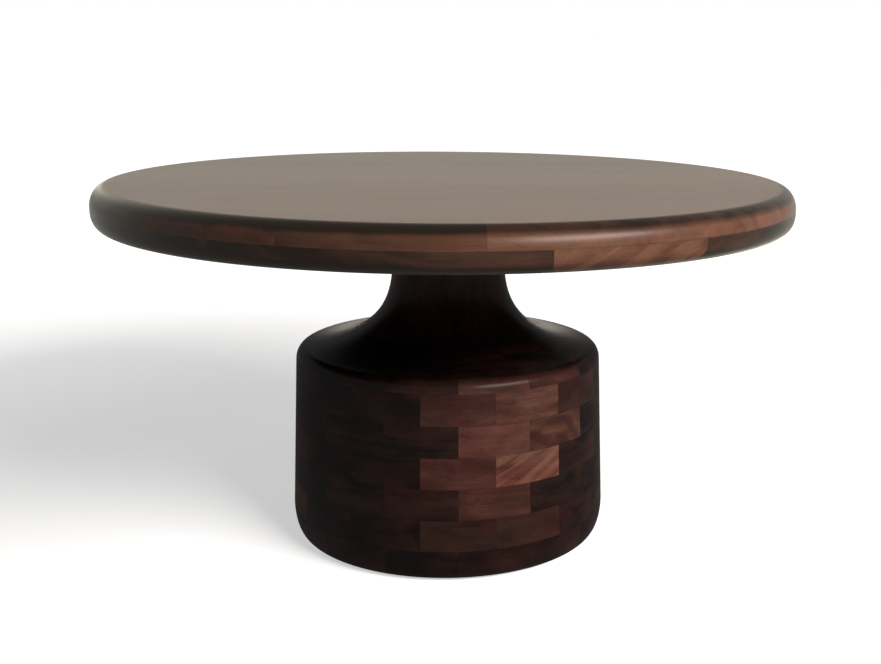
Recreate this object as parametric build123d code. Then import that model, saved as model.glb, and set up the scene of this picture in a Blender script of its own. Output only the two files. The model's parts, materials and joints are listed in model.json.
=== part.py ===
from build123d import *
import os
from math import cos, radians, sin, tan

# A round pedestal table, turned from glued-up hardwood: a thick top of two plies of boards, a flared
# neck of four glued posts, and a hollow drum laid up like brickwork from wooden blocks. A tie rod
# draws top, neck and drum together.
# Millimetres, +Z up. The origin is on the floor under the middle of the table, the boards of the top
# run along X, and the front of the table faces -Y.

# ---- The table as a whole ------------------------------------------------------------------------
TABLE_HEIGHT = 435
TOP_DIAMETER = 813
FLOOR_GAP = 3  # between the drum and the floor, while the table stands on its levellers

# ---- Top: two plies of boards, lapped by half a board --------------------------------------------
TOP_THICKNESS = 45
UPPER_PLY_THICKNESS = 22.5  # its edge is rounded over its full height
CORE_BOARDS = 11  # full boards side by side in the lower ply
TOP_END_JOINTS = {1: 18, 4: 18}  # row, counted from the front: X where two boards meet end to end
CORE_END_JOINTS = {1: 78}
EDGE_UPPER_ROUND_WIDTH = 17.8
EDGE_FLAT = 5  # the upright stretch between the two roundings of the edge
EDGE_LOWER_ROUND_WIDTH = 12

# ---- Drum: courses of blocks, every other course turned by half a block --------------------------
PLANK_THICKNESS = 36  # of every course
COURSES = 6  # below the shoulder course
BLOCKS_PER_COURSE = 14
FIRST_JOINT = 1  # degrees from the front towards +X, in the bottom course
DRUM_DIAMETER = 384.4  # above the bottom course, where the drum is widest
DRUM_TAPER = 7.1  # lost from the radius between there and the rim
DRUM_WALL = 54
BASE_ROUND_WIDTH = 12.5  # the bottom course is rounded over its full height
RIM_ROUND_WIDTH = 12.3
RIM_ROUND_HEIGHT = 16  # from the foot of the shoulder course up to the crease

# ---- Shoulder and neck ---------------------------------------------------------------------------
SHOULDER_HOLE_RADIUS = 60  # to the middle of a block's flat inner face, under the neck
NECK_DIAMETER = 136  # under the top
NECK_UPRIGHT = 54  # how much of the neck's upper end is a plain cylinder
SHOULDER_SWEEP = 20  # how far outside the neck the flare aims as it leaves the crease
SHOULDER_RISE = 0.1  # how much it climbs on that line, as a share of the flare's height
FLARE_UPRIGHTNESS = 0.5  # how long it then holds on to the upright line, as the same kind of share

# ---- Tie rod: from a nut plate caught between the plies, down to a plate and nut in the drum -----
ROD_DIAMETER = 12
ROD_CLEARANCE = 0.5  # all round, in wood and plate
THREAD_CLEARANCE = 0.05  # all round, in nuts and threaded inserts
ROD_TAIL = 6  # below the nut
NUT_ACROSS_FLATS = 19
NUT_HEIGHT = 10
PRESSURE_PLATE_THICKNESS = 8
PRESSURE_PLATE_OVERLAP = 20  # past the hole that it spans
NUT_PLATE_WIDTH = 60
NUT_PLATE_THICKNESS = 8

# ---- Levellers, hidden in wells in the bottom course ---------------------------------------------
LEVELLERS = {"front_right": -45, "rear_right": 45, "rear_left": 135, "front_left": 225}
LEVELLER_OUT = 10  # how far a leveller screws out from here
STUD_DIAMETER = 8
STUD_NUT_ACROSS_FLATS = 13
STUD_NUT_HEIGHT = 4
STUD_HEADROOM = 1  # above the stud and its nut when they are right in
THREAD_HELD = 9  # thread still in the insert when the leveller is right out
INSERT_DIAMETER = 12
INSERT_LENGTH = 15
PAD_DIAMETER = 28
PAD_SIDES = 12  # flats to grip
PAD_HEIGHT = 7
PAD_RIM_HEIGHT = 2
PAD_SLOPE = 50  # degrees from upright, above the rim
WELL_CLEARANCE = 2  # around the pad

# ---- Flats that a turned rounding is worked in, before sanding -----------------------------------
UPPER_ROUND_FLATS = 4
LOWER_ROUND_FLATS = 2
BASE_ROUND_FLATS = 2
RIM_ROUND_FLATS = 2
FLARE_FLATS = 5

# ---- Levels and radii that follow from these -----------------------------------------------------
top_radius = TOP_DIAMETER / 2
board_width = TOP_DIAMETER / CORE_BOARDS
top_underside = TABLE_HEIGHT - TOP_THICKNESS
glue_plane = TABLE_HEIGHT - UPPER_PLY_THICKNESS
courses_top = FLOOR_GAP + COURSES * PLANK_THICKNESS
shoulder_top = courses_top + PLANK_THICKNESS
crease_level = courses_top + RIM_ROUND_HEIGHT
neck_radius = NECK_DIAMETER / 2
drum_radius = DRUM_DIAMETER / 2
rim_radius = drum_radius - DRUM_TAPER
crease_radius = rim_radius - RIM_ROUND_WIDTH
hollow_radius = drum_radius - DRUM_WALL  # to the middle of each block's flat inner face
block_angle = 360 / BLOCKS_PER_COURSE
rod_hole_radius = ROD_DIAMETER / 2 + ROD_CLEARANCE
nut_bore_radius = ROD_DIAMETER / 2 + THREAD_CLEARANCE
pressure_plate_width = 2 * (SHOULDER_HOLE_RADIUS + PRESSURE_PLATE_OVERLAP)
pressure_plate_bottom = courses_top - PRESSURE_PLATE_THICKNESS
nut_bottom = pressure_plate_bottom - NUT_HEIGHT
nut_plate_bottom = glue_plane - NUT_PLATE_THICKNESS
leveller_radius = (hollow_radius + drum_radius - BASE_ROUND_WIDTH) / 2
stud_nut_top = PAD_HEIGHT + STUD_NUT_HEIGHT
well_ceiling = stud_nut_top + FLOOR_GAP + STUD_HEADROOM
stud_top = well_ceiling + THREAD_HELD + LEVELLER_OUT
stud_bore_top = stud_top + FLOOR_GAP + STUD_HEADROOM


# ---- Shared shapes -------------------------------------------------------------------------------
def quarter_round(centre, width, height, start, flats):
    """Points on a quarter of an ellipse, counter-clockwise from a start angle in degrees."""
    angles = [radians(start + 90 * i / flats) for i in range(flats + 1)]
    return [(centre[0] + width * cos(a), centre[1] + height * sin(a)) for a in angles]


def turned(outline):
    """The solid that an outline in X and Z makes when it turns on the lathe."""
    return revolve(Plane.XZ * make_face(Polyline(outline, close=True)), Axis.Z)


def prism(sketch, bottom, top):
    """A sketch in X and Y, carried up from one level to another."""
    return Pos(0, 0, bottom) * extrude(sketch, top - bottom)


def slab(x_low, x_high, y_low, y_high, bottom, top):
    """An upright block between two X, two Y and two Z values."""
    middle = Pos((x_low + x_high) / 2, (y_low + y_high) / 2)
    return prism(middle * Rectangle(x_high - x_low, y_high - y_low), bottom, top)


def hexagon(across_flats):
    """The outline of a nut."""
    return RegularPolygon(across_flats / 2, 6, major_radius=False)


def at_leveller(shape, side):
    """A shape from the Z axis, moved to one leveller's place."""
    angle = radians(LEVELLERS[side])
    return Pos(leveller_radius * cos(angle), leveller_radius * sin(angle)) * shape


def cut_all(pieces, cutters):
    """Each piece less every cutter."""
    for cutter in cutters:
        pieces = [piece - cutter for piece in pieces]
    return pieces


def save(name, pieces):
    """Writes one sub-part, whose solids may be several."""
    solids = [solid for piece in pieces for solid in piece.solids()]
    export_step(solids[0] if len(solids) == 1 else Compound(children=solids), f"parts/{name}.step")


# ---- Forms as they leave the lathe ---------------------------------------------------------------
def top_form():
    """The top with its bullnose edge, before it is thought of as boards."""
    nose_low = glue_plane - EDGE_FLAT
    upper_centre = (top_radius - EDGE_UPPER_ROUND_WIDTH, glue_plane)
    lower_centre = (top_radius - EDGE_LOWER_ROUND_WIDTH, nose_low)
    lower_height = nose_low - top_underside
    lower = quarter_round(lower_centre, EDGE_LOWER_ROUND_WIDTH, lower_height, -90, LOWER_ROUND_FLATS)
    upper = quarter_round(
        upper_centre, EDGE_UPPER_ROUND_WIDTH, UPPER_PLY_THICKNESS, 0, UPPER_ROUND_FLATS
    )
    return turned([(0, top_underside), *lower, *upper, (0, TABLE_HEIGHT)])


def flare():
    """Points from the crease up to the plain end of the neck, on one sweep that turns upright."""
    neck_foot = top_underside - NECK_UPRIGHT
    height = neck_foot - crease_level
    sweep = Bezier(
        (crease_radius, crease_level),
        (neck_radius + SHOULDER_SWEEP, crease_level + SHOULDER_RISE * height),
        (neck_radius, neck_foot - FLARE_UPRIGHTNESS * height),
        (neck_radius, neck_foot),
    )
    points = [sweep @ (i / FLARE_FLATS) for i in range(FLARE_FLATS + 1)]
    return [(point.X, point.Y) for point in points]


def pedestal_form():
    """Drum, shoulder and neck as one turned outline, solid through."""
    base_centre = (drum_radius - BASE_ROUND_WIDTH, FLOOR_GAP + PLANK_THICKNESS)
    rim_centre = (crease_radius, courses_top)
    base = quarter_round(base_centre, BASE_ROUND_WIDTH, PLANK_THICKNESS, -90, BASE_ROUND_FLATS)
    rim = quarter_round(rim_centre, RIM_ROUND_WIDTH, RIM_ROUND_HEIGHT, 0, RIM_ROUND_FLATS)
    neck = [(neck_radius, top_underside), (0, top_underside)]
    return turned([(0, FLOOR_GAP), *base, *rim, *flare()[1:], *neck])


# ---- Top -----------------------------------------------------------------------------------------
def ply_rows(form, edges, bottom, top, end_joints):
    """One ply of the top, row by row from the front. Each row is one board, or two end to end."""
    rows = []
    for number, (y_low, y_high) in enumerate(zip(edges, edges[1:]), start=1):
        x_joints = [end_joints[number]] if number in end_joints else []
        x_cuts = [-top_radius, *x_joints, top_radius]
        boards = [slab(a, b, y_low, y_high, bottom, top) for a, b in zip(x_cuts, x_cuts[1:])]
        rows.append([form & board for board in boards])
    return rows


def top_rows(form):
    """The upper ply: a joint on the centre line, and half a board left over at the front and back."""
    half = CORE_BOARDS // 2
    joints = [board_width * i for i in range(-half, half + 1)]
    edges = [-top_radius, *joints, top_radius]
    return ply_rows(form, edges, glue_plane, TABLE_HEIGHT, TOP_END_JOINTS)


def core_rows(form):
    """The lower ply: full boards, the middle one let out for the nut plate and the rod."""
    edges = [-top_radius + board_width * i for i in range(CORE_BOARDS + 1)]
    rows = ply_rows(form, edges, top_underside, glue_plane, CORE_END_JOINTS)
    pocket = prism(Rectangle(NUT_PLATE_WIDTH, NUT_PLATE_WIDTH), nut_plate_bottom, glue_plane)
    hole = prism(Circle(rod_hole_radius), top_underside, nut_plate_bottom)
    middle = CORE_BOARDS // 2
    rows[middle] = cut_all(rows[middle], [pocket, hole])
    return rows


def save_ply(name, rows):
    """Boards as far in front of the middle as behind it are twins, and share a sub-part."""
    for number in range((len(rows) + 1) // 2):
        front, back = rows[number], rows[-1 - number]
        save(f"{name}_{number + 1}", front if front is back else front + back)


# ---- Drum, shoulder and neck ---------------------------------------------------------------------
def course_bottom(number):
    """The level that a course is laid on, counted from 1 at the floor."""
    return FLOOR_GAP + (number - 1) * PLANK_THICKNESS


def course(form, number, inner_radius):
    """One ring of blocks: flat glued faces inside and between, the turned face outside."""
    bottom = course_bottom(number)
    slope = tan(radians(block_angle / 2))
    near, far = inner_radius, DRUM_DIAMETER
    corners = [(near, -near * slope), (far, -far * slope), (far, far * slope), (near, near * slope)]
    blank = prism(make_face(Polyline(corners, close=True)), bottom, bottom + PLANK_THICKNESS)
    block = form & blank
    turn = FIRST_JOINT - 90 + block_angle / 2 * (number % 2)
    return [Rot(0, 0, turn + i * block_angle) * block for i in range(BLOCKS_PER_COURSE)]


def leveller_wells():
    """What the drum's foot loses: a well for each pad, and above it a bore for insert and stud."""
    well = prism(Circle(PAD_DIAMETER / 2 + WELL_CLEARANCE), FLOOR_GAP, well_ceiling)
    bore = prism(Circle(INSERT_DIAMETER / 2), well_ceiling, stud_bore_top)
    return [at_leveller(well + bore, side) for side in LEVELLERS]


def neck_posts(form):
    """Four upright posts, their inner corners cut away to leave a square hole for the rod."""
    blank = slab(0, drum_radius, 0, drum_radius, shoulder_top, top_underside)
    hole = Rectangle(2 * rod_hole_radius, 2 * rod_hole_radius)
    post = (form & blank) - prism(hole, shoulder_top, top_underside)
    return [Rot(0, 0, 90 * i) * post for i in range(4)]


# ---- Steel and plastic ---------------------------------------------------------------------------
def square_plate(width, bore_radius, bottom, top):
    """A square plate with a round hole in the middle."""
    return prism(Rectangle(width, width) - Circle(bore_radius), bottom, top)


def leveller_insert():
    """A threaded sleeve, flush with the ceiling of its well."""
    sleeve = Circle(INSERT_DIAMETER / 2) - Circle(STUD_DIAMETER / 2 + THREAD_CLEARANCE)
    return prism(sleeve, well_ceiling, well_ceiling + INSERT_LENGTH)


def leveller_pad():
    """The glide on the floor: an upright rim with flats to grip, and a sloping crown."""
    outline = RegularPolygon(PAD_DIAMETER / 2, PAD_SIDES)
    rim = prism(outline, 0, PAD_RIM_HEIGHT)
    crown = extrude(outline, PAD_HEIGHT - PAD_RIM_HEIGHT, taper=PAD_SLOPE)
    return rim + Pos(0, 0, PAD_RIM_HEIGHT) * crown


def leveller_stud():
    """The stud with its fixed nut, which sits on the pad and is turned to raise that side."""
    shank = prism(Circle(STUD_DIAMETER / 2), stud_nut_top, stud_top)
    return prism(hexagon(STUD_NUT_ACROSS_FLATS), PAD_HEIGHT, stud_nut_top) + shank


def save_tie_rod():
    """The rod, and what it pulls on at either end."""
    rod = prism(Circle(ROD_DIAMETER / 2), nut_bottom - ROD_TAIL, glue_plane)
    nut = hexagon(NUT_ACROSS_FLATS) - Circle(nut_bore_radius)
    nut_plate = square_plate(NUT_PLATE_WIDTH, nut_bore_radius, nut_plate_bottom, glue_plane)
    pressure_plate = square_plate(
        pressure_plate_width, rod_hole_radius, pressure_plate_bottom, courses_top
    )
    save("tie_rod", [rod])
    save("tie_rod_nut", [prism(nut, nut_bottom, pressure_plate_bottom)])
    save("nut_plate", [nut_plate])
    save("pressure_plate", [pressure_plate])


def main():
    os.makedirs("parts", exist_ok=True)

    top = top_form()
    save_ply("top_boards", top_rows(top))
    save_ply("core_boards", core_rows(top))

    pedestal = pedestal_form()
    wells = leveller_wells()
    for number in range(1, COURSES + 1):
        blocks = course(pedestal, number, hollow_radius)
        reached = course_bottom(number) < stud_bore_top
        save(f"drum_course_{number}", cut_all(blocks, wells) if reached else blocks)
    save("shoulder_course", course(pedestal, COURSES + 1, SHOULDER_HOLE_RADIUS))
    save("neck_posts", neck_posts(pedestal))
    save_tie_rod()

    save("leveller_inserts", [at_leveller(leveller_insert(), side) for side in LEVELLERS])
    for side in LEVELLERS:
        save(f"leveller_pad_{side}", [at_leveller(leveller_pad(), side)])
        save(f"leveller_stud_{side}", [at_leveller(leveller_stud(), side)])


main()
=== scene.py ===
import bmesh
import bpy
import json
import random
from math import atan2, cos, pi, radians, sin, tan, tau
from mathutils import Matrix, Vector


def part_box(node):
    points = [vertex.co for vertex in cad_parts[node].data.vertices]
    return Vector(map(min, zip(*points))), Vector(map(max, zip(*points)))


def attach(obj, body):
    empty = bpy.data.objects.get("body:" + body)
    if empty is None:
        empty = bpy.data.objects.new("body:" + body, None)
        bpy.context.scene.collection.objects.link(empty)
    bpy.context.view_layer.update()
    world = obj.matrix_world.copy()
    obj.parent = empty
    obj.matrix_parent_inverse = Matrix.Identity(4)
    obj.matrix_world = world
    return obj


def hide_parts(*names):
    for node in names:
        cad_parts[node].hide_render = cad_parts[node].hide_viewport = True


# A turned pedestal table in dark stained hardwood. Every board, block and post is its own solid
# piece of wood with its own grain, so the glue joints show as they do on the real one.
# Metres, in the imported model's frame: the boards of the top run along X and the front faces -Y.

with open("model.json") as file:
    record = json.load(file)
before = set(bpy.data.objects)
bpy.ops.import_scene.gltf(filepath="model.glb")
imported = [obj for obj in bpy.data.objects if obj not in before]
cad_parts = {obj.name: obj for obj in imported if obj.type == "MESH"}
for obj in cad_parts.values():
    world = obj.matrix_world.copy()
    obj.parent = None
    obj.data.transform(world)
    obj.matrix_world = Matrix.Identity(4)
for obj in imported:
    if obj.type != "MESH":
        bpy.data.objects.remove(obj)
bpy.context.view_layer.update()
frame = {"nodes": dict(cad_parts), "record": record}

# ---- Shape values, the same as the model's -------------------------------------------------------
EDGE_UPPER_ROUND_WIDTH = 0.0178
EDGE_FLAT = 0.005
EDGE_LOWER_ROUND_WIDTH = 0.012
END_JOINT_X = {"top": {1: 0.018, 4: 0.018}, "core": {1: 0.078}}  # row, counted from the front
CORE_BOARDS = 11
COURSES = 6
BLOCKS_PER_COURSE = 14
FIRST_JOINT = radians(1)
DRUM_WALL = 0.054
BASE_ROUND_WIDTH = 0.0125
RIM_ROUND_WIDTH = 0.0123
RIM_ROUND_HEIGHT = 0.016
SHOULDER_HOLE_RADIUS = 0.060
NECK_RADIUS = 0.068
NECK_UPRIGHT = 0.054
SHOULDER_SWEEP = 0.020
SHOULDER_RISE = 0.1
FLARE_UPRIGHTNESS = 0.5
ROD_HOLE_RADIUS = 0.0065
NUT_BORE_RADIUS = 0.00605
NUT_ACROSS_FLATS = 0.019
STUD_NUT_ACROSS_FLATS = 0.013
STUD_NUT_HEIGHT = 0.004
STUD_RADIUS = 0.004
STUD_PITCH = 0.00125
INSERT_BORE_RADIUS = 0.00405
PAD_SIDES = 12
PAD_RIM_HEIGHT = 0.002
PAD_SLOPE = radians(50)
WELL_CLEARANCE = 0.002
STUD_HEADROOM = 0.001
SIDES = ("front_right", "rear_right", "rear_left", "front_left")

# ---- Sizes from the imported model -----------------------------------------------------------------
core_low, core_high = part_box("core_boards_6")
top_low, top_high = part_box("top_boards_6")
foot_low, foot_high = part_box("drum_course_1")
shoulder_low, shoulder_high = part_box("shoulder_course")
plate_low, plate_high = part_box("pressure_plate")
nut_low, nut_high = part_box("tie_rod_nut")
nut_plate_low, nut_plate_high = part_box("nut_plate")
rod_low, rod_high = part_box("tie_rod")
insert_low, insert_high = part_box("leveller_inserts")
pad_low, pad_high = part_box("leveller_pad_front_right")
stud_low, stud_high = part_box("leveller_stud_front_right")

top_radius = top_high.x
board_width = core_high.y - core_low.y
underside, glue_plane, table_height = core_low.z, top_low.z, top_high.z
foot, foot_top = foot_low.z, foot_high.z
drum_radius = foot_high.x
courses_top, shoulder_top = shoulder_low.z, shoulder_high.z
rim_radius = shoulder_high.x
course_height = foot_top - foot
block_angle = tau / BLOCKS_PER_COURSE
pad_radius = (pad_high.x - pad_low.x) / 2
leveller_x = (pad_low.x + pad_high.x) / 2
insert_radius = insert_high.x - leveller_x
stud_bore_top = stud_high.z + foot + STUD_HEADROOM
levellers = {side: sum(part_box(f"leveller_pad_{side}"), Vector()) / 2 for side in SIDES}

# ---- Making of the wood --------------------------------------------------------------------------
SEED = 17
LATHE_STEPS = 360
HARDWARE_STEPS = 72
BLOCK_STEPS = 10
POST_STEPS = 28
CURVE_STEPS = 18
CAP_MARGIN = 0.004  # a flat ring inside each rounding, which keeps the flat face's shading flat
SHARP_ANGLE = radians(28)
FAR = 10.0  # stands for "no joint near", in metres
LOG_SPREAD = ((-3, 3), (-0.16, 0.16), (0.03, 0.17))  # where in its log a piece lies, along and across


def quarter_round(centre, width, height, start, steps=CURVE_STEPS):
    """Points (radius, level) on a quarter of an ellipse, counter-clockwise from a start angle."""
    angles = [start + pi / 2 * i / steps for i in range(steps + 1)]
    return [(centre[0] + width * cos(a), centre[1] + height * sin(a)) for a in angles]


def bezier(a, b, c, d, steps=2 * CURVE_STEPS):
    """Points on a cubic curve."""
    points = []
    for i in range(steps + 1):
        t = i / steps
        weights = ((1 - t) ** 3, 3 * t * (1 - t) ** 2, 3 * t * t * (1 - t), t ** 3)
        points.append(tuple(sum(w * p[k] for w, p in zip(weights, (a, b, c, d))) for k in (0, 1)))
    return points


def top_outline():
    """The edge of the top, from the underside up to the face."""
    nose_low = glue_plane - EDGE_FLAT
    lower_centre = (top_radius - EDGE_LOWER_ROUND_WIDTH, nose_low)
    upper_centre = (top_radius - EDGE_UPPER_ROUND_WIDTH, glue_plane)
    lower = quarter_round(lower_centre, EDGE_LOWER_ROUND_WIDTH, nose_low - underside, -pi / 2)
    upper = quarter_round(upper_centre, EDGE_UPPER_ROUND_WIDTH, table_height - glue_plane, 0)
    below = (lower[0][0] - CAP_MARGIN, underside)
    above = (upper[-1][0] - CAP_MARGIN, table_height)
    return [below, *lower, *upper, above]


def pedestal_outline():
    """Drum, rim, shoulder and neck, from the foot up to the underside of the top."""
    crease_radius = rim_radius - RIM_ROUND_WIDTH
    crease = courses_top + RIM_ROUND_HEIGHT
    neck_foot = underside - NECK_UPRIGHT
    rise = neck_foot - crease
    base_centre = (drum_radius - BASE_ROUND_WIDTH, foot_top)
    base = quarter_round(base_centre, BASE_ROUND_WIDTH, foot_top - foot, -pi / 2)
    rim = quarter_round((crease_radius, courses_top), RIM_ROUND_WIDTH, RIM_ROUND_HEIGHT, 0)
    flare = bezier(
        (crease_radius, crease),
        (NECK_RADIUS + SHOULDER_SWEEP, crease + SHOULDER_RISE * rise),
        (NECK_RADIUS, neck_foot - FLARE_UPRIGHTNESS * rise),
        (NECK_RADIUS, neck_foot),
    )
    return [*base, *rim, *flare[1:], (NECK_RADIUS, underside)]


def between(outline, low, high):
    """The stretch of a rising outline between two levels."""
    kept = []
    for (r0, z0), (r1, z1) in zip(outline, outline[1:]):
        for level in (low, high):
            if z0 < level < z1:
                kept.append((r0 + (r1 - r0) * (level - z0) / (z1 - z0), level))
        if low <= z1 <= high:
            kept.append((r1, z1))
    if low <= outline[0][1]:
        kept.insert(0, outline[0])
    return sorted(kept, key=lambda point: point[1])


def ring(level, radius_at, steps=LATHE_STEPS):
    """One closed row of points around the Z axis. The radius is a number, or depends on the angle."""
    spots = []
    for i in range(steps):
        angle = tau * i / steps
        radius = radius_at(angle) if callable(radius_at) else radius_at
        spots.append((radius * cos(angle), radius * sin(angle), level))
    return spots


def turned(*steps):
    """Rows of points from pairs of radius and level, for small round things."""
    return [ring(level, radius, HARDWARE_STEPS) for radius, level in steps]


def square(half_side):
    """The radius of a square, at an angle."""
    return lambda angle: half_side / max(abs(cos(angle)), abs(sin(angle)))


def skin(rings, loop=False):
    """A closed solid through rows of points: capped at both ends, or run round in a loop."""
    form = bmesh.new()
    rows = [[form.verts.new(spot) for spot in row] for row in rings]
    for lower, upper in zip(rows, rows[1:] + rows[:1] if loop else rows[1:]):
        for i in range(len(lower)):
            j = (i + 1) % len(lower)
            form.faces.new((lower[i], lower[j], upper[j], upper[i])).smooth = True
    if not loop:
        form.faces.new(rows[0][::-1])
        form.faces.new(rows[-1])
    bmesh.ops.recalc_face_normals(form, faces=form.faces)
    return form


def shifted(form, place):
    """A form from the Z axis, moved to a leveller's place."""
    bmesh.ops.translate(form, vec=(place.x, place.y, 0), verts=form.verts)
    return form


def as_mesh(form, name):
    """A Blender mesh of a form, which is used up."""
    data = bpy.data.meshes.new(name)
    form.to_mesh(data)
    form.free()
    return data


def carved(form, cutters):
    """A form less the cutters, each a form of its own. The form is used up, the cutters are not."""
    blank = bpy.data.objects.new("blank", as_mesh(form, "blank"))
    bpy.context.collection.objects.link(blank)
    tools = []
    for cutter in cutters:
        tool = bpy.data.objects.new("tool", as_mesh(cutter.copy(), "tool"))
        bpy.context.collection.objects.link(tool)
        tools.append(tool)
        cut = blank.modifiers.new("cut", "BOOLEAN")
        cut.operation = "DIFFERENCE"
        cut.solver = "EXACT"
        cut.object = tool
    bpy.context.view_layer.update()
    graph = bpy.context.evaluated_depsgraph_get()
    result = bmesh.new()
    result.from_mesh(blank.evaluated_get(graph).data)
    for used in (blank, *tools):
        data = used.data
        bpy.data.objects.remove(used)
        bpy.data.meshes.remove(data)
    return result


def make_piece(name, data, material, slot, body, *nodes):
    """An object that stands for CAD nodes and rides on their body."""
    data.materials.append(material)
    data.set_sharp_from_angle(angle=SHARP_ANGLE)
    piece = bpy.data.objects.new(name, data)
    bpy.context.collection.objects.link(piece)
    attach(piece, body)
    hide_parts(*nodes)
    return piece


class Wood:
    """A mesh of solid pieces of wood, each tagged with where its grain and its glue joints run. The third
    part of a joint tag is how far a spot lies inside the drum, as a share of the wall."""

    def __init__(self, name):
        self.name = name
        self.mesh = bmesh.new()
        layers = self.mesh.verts.layers
        self.grain = layers.float_vector.new("grain")
        self.joint = layers.float_vector.new("joint")
        # tone: the wood's own tone, with painted shade, dark reflection and highlight added on the top's
        # edge, and painted light and shade on the drum's front and the shoulder's sweep
        self.tone = layers.float.new("tone")
        self.figure = layers.float.new("figure")
        self.random = random.Random(f"{SEED} {name}")

    def add(self, form, axes, joint_of, tone, figure=0.0):
        """Takes in one piece. Grain follows the first axis, and each piece is cut from its own log."""
        place = Vector([self.random.uniform(*reach) for reach in LOG_SPREAD])
        before = len(self.mesh.verts)
        data = as_mesh(form, "piece")
        self.mesh.from_mesh(data)
        bpy.data.meshes.remove(data)
        self.mesh.verts.ensure_lookup_table()
        for vert in self.mesh.verts[before:]:
            vert[self.grain] = axes @ vert.co + place
            vert[self.joint] = joint_of(vert.co)
            vert[self.tone] = tone(vert.co) if callable(tone) else tone
            vert[self.figure] = figure

    def finish(self, material, slot, *nodes):
        """Makes the object that stands for the CAD nodes."""
        bmesh.ops.recalc_face_normals(self.mesh, faces=self.mesh.faces)
        return make_piece(self.name, as_mesh(self.mesh, self.name), material, slot, "table", *nodes)


# ---- Boards of the top ---------------------------------------------------------------------------
# A board's key is its ply, its row from the front and its place in the row, from -X. Its tone is how much
# brown shows through the stain.
TOP_TONES = (0.42, 0.6)
CORE_TONES = (0.14, 0.32)
BOARD_TONES = {("top", 1, 0): 0.42, ("top", 1, 1): 0.6, ("core", 1, 0): 0.24, ("core", 1, 1): 0.66,
               ("core", 2, 0): 0.34}
BOARD_FIGURES = {("core", 1, 1): 0.2, ("top", 5, 0): 0.1}  # how strongly flames show
# The next five are painted light, added to a board's tone on the rounded edge: a painted dark reflection on
# the upper arris, painted shade on the lower arris, the left end and the lower ply's right end, and a
# painted highlight on the upper ply's right end.
UPPER_ARRIS_PAINTED_REFLECTION = -0.55
LOWER_ARRIS_PAINTED_SHADE = -0.3
LEFT_END_PAINTED_SHADE = -0.55
RIGHT_END_PAINTED_HIGHLIGHT = 0.08
RIGHT_END_CORE_PAINTED_SHADE = -0.36
PAINTED_ARRIS_START = 0.52  # where the painted dark begins, above and below the glue line, as a share of the upper ply
PAINTED_ARRIS_FADE = 0.25  # over which the painted dark of an arris deepens, as a share of that ply and of the rounding
CUT_MARGIN = 0.001  # how far a cutter runs past the face that it opens
SAW_TOLERANCE = 1e-7


def sawn(form, cuts):
    """A copy of a form, sawn along planes. Each cut is a point and the direction that is cut off."""
    board = form.copy()
    for point, away in cuts:
        geometry = board.verts[:] + board.edges[:] + board.faces[:]
        result = bmesh.ops.bisect_plane(board, geom=geometry, plane_co=point, plane_no=away,
                                        clear_outer=True, dist=SAW_TOLERANCE)
        edges = [item for item in result["geom_cut"] if isinstance(item, bmesh.types.BMEdge)]
        bmesh.ops.edgeloop_fill(board, edges=edges)
    return board


def board_cuts(y_low, y_high, x_low, x_high):
    """The saw cuts around one board."""
    cuts = []
    for value, axis, sign in ((y_low, 1, -1), (y_high, 1, 1), (x_low, 0, -1), (x_high, 0, 1)):
        if abs(value) < top_radius:
            point, away = Vector(), Vector()
            point[axis], away[axis] = value, sign
            cuts.append((point, away))
    return cuts


def edge_painted_light(tone):
    """Painted light on the rounded edge: a painted dark reflection along the upper arris, painted shade
    along the lower arris, towards the left end and in the lower ply towards the right end, and a painted
    highlight in the upper ply towards the right end."""
    def tone_with_painted_light(co):
        outward = 1 - (top_radius - co.xy.length) / EDGE_UPPER_ROUND_WIDTH
        if outward <= 0:
            return tone
        height = (co.z - glue_plane) / (table_height - glue_plane)
        # painted dark reflection along the upper arris, painted shade along the lower one
        upper = min(max((height - PAINTED_ARRIS_START) / PAINTED_ARRIS_FADE, 0.0), outward / PAINTED_ARRIS_FADE, 1.0)
        lower = min(max((-height - PAINTED_ARRIS_START) / PAINTED_ARRIS_FADE, 0.0), 1.0)
        # painted shade towards the left end and in the lower ply's right end, a painted highlight in the
        # upper ply's right end
        end = LEFT_END_PAINTED_SHADE if co.x < 0 else RIGHT_END_PAINTED_HIGHLIGHT if height > 0 else RIGHT_END_CORE_PAINTED_SHADE
        painted_arris_dark = UPPER_ARRIS_PAINTED_REFLECTION * upper + LOWER_ARRIS_PAINTED_SHADE * lower
        return tone + painted_arris_dark + end * outward * abs(co.x) / top_radius
    return tone_with_painted_light


def ply(name, form, edges, end_joints, tones, cutters, material):
    """The boards of one ply. Those as far in front of the middle as behind it share an object."""
    rows = len(edges) - 1
    axes = Matrix.Identity(3)
    for number in range(1, (rows + 1) // 2 + 1):
        wood = Wood(f"wood_{name}_boards_{number}")
        for row in sorted({number, rows + 1 - number}):
            y_low, y_high = edges[row - 1], edges[row]
            middle = y_high - board_width / 2 if row == 1 else y_low + board_width / 2
            joints = [end_joints[row]] if row in end_joints else []
            x_cuts = [-FAR, *joints, FAR]
            for index, (x_low, x_high) in enumerate(zip(x_cuts, x_cuts[1:])):
                board = sawn(form, board_cuts(y_low, y_high, x_low, x_high))
                if row in cutters:
                    board = carved(board, cutters[row])

                def joint_of(co, x_low=x_low, x_high=x_high, middle=middle):
                    nearest = min(co.x - x_low, x_high - co.x)
                    return Vector((FAR - nearest, co.y - middle, 0.0))

                tone = BOARD_TONES.get((name, row, index), wood.random.uniform(*tones))
                figure = BOARD_FIGURES.get((name, row, index), 0.0)
                wood.add(board, axes, joint_of, edge_painted_light(tone), figure)
        wood.finish(material, "top_wood", f"{name}_boards_{number}")


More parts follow.
